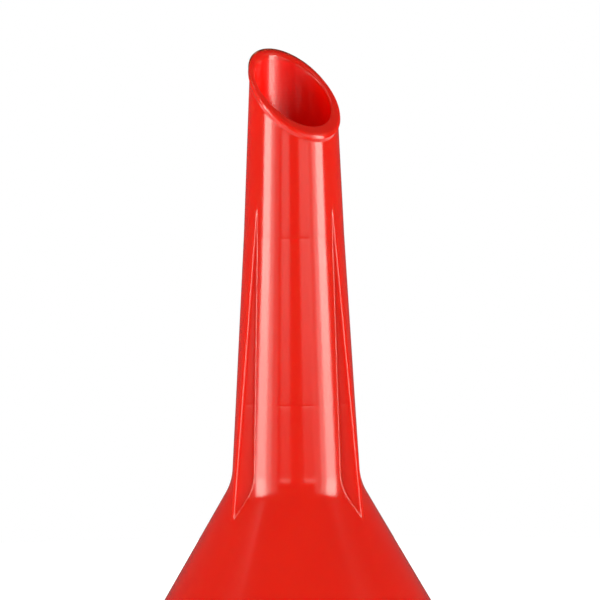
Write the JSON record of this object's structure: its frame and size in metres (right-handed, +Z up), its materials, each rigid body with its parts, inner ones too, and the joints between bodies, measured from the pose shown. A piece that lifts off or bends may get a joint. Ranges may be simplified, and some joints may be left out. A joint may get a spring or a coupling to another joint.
{
  "type": "funnel",
  "caption": "Red plastic funnel with a long bevelled spout, vent ribs, a 60 degree bowl, a hanging tab and a gauze strainer that lifts out.",
  "frame": {"origin": "centre of the mouth, in the plane of the rim's flat face that the funnel stands on", "axes": "+Z up the funnel's axis from the mouth to the tip of the spout; +X towards the low side of the tip's bevel; the hanging tab is at -X"},
  "size_m": [0.178, 0.16, 0.2254],
  "materials": {
    "funnel_plastic": "glossy",
    "strainer_plastic": "satin",
    "gauze_brass": "woven wire",
    "bail_steel": "drawn wire"
  },
  "bodies": {
    "funnel": {"spout": "funnel_plastic", "air_rib_left": "funnel_plastic", "air_rib_right": "funnel_plastic", "air_rib_back": "funnel_plastic", "cone": "funnel_plastic", "collar": "funnel_plastic", "rim": "funnel_plastic", "hanging_tab": "funnel_plastic", "strainer_seat": "funnel_plastic"},
    "strainer": {"strainer_frame": "strainer_plastic", "gauze": "gauze_brass", "clamp_ring": "strainer_plastic"},
    "bail": {"lift_bail": "bail_steel"}
  },
  "joints": [
    {"name": "strainer_lift", "type": "slide", "parent": "funnel", "child": "strainer", "axis": [0, 0, -1], "range_m": [0, 0.12]},
    {"name": "bail_swing", "type": "hinge", "parent": "strainer", "child": "bail", "pos_m": [0, 0, 0.07556], "axis": [1, 0, 0], "range_deg": [-85, 85]}
  ]
}
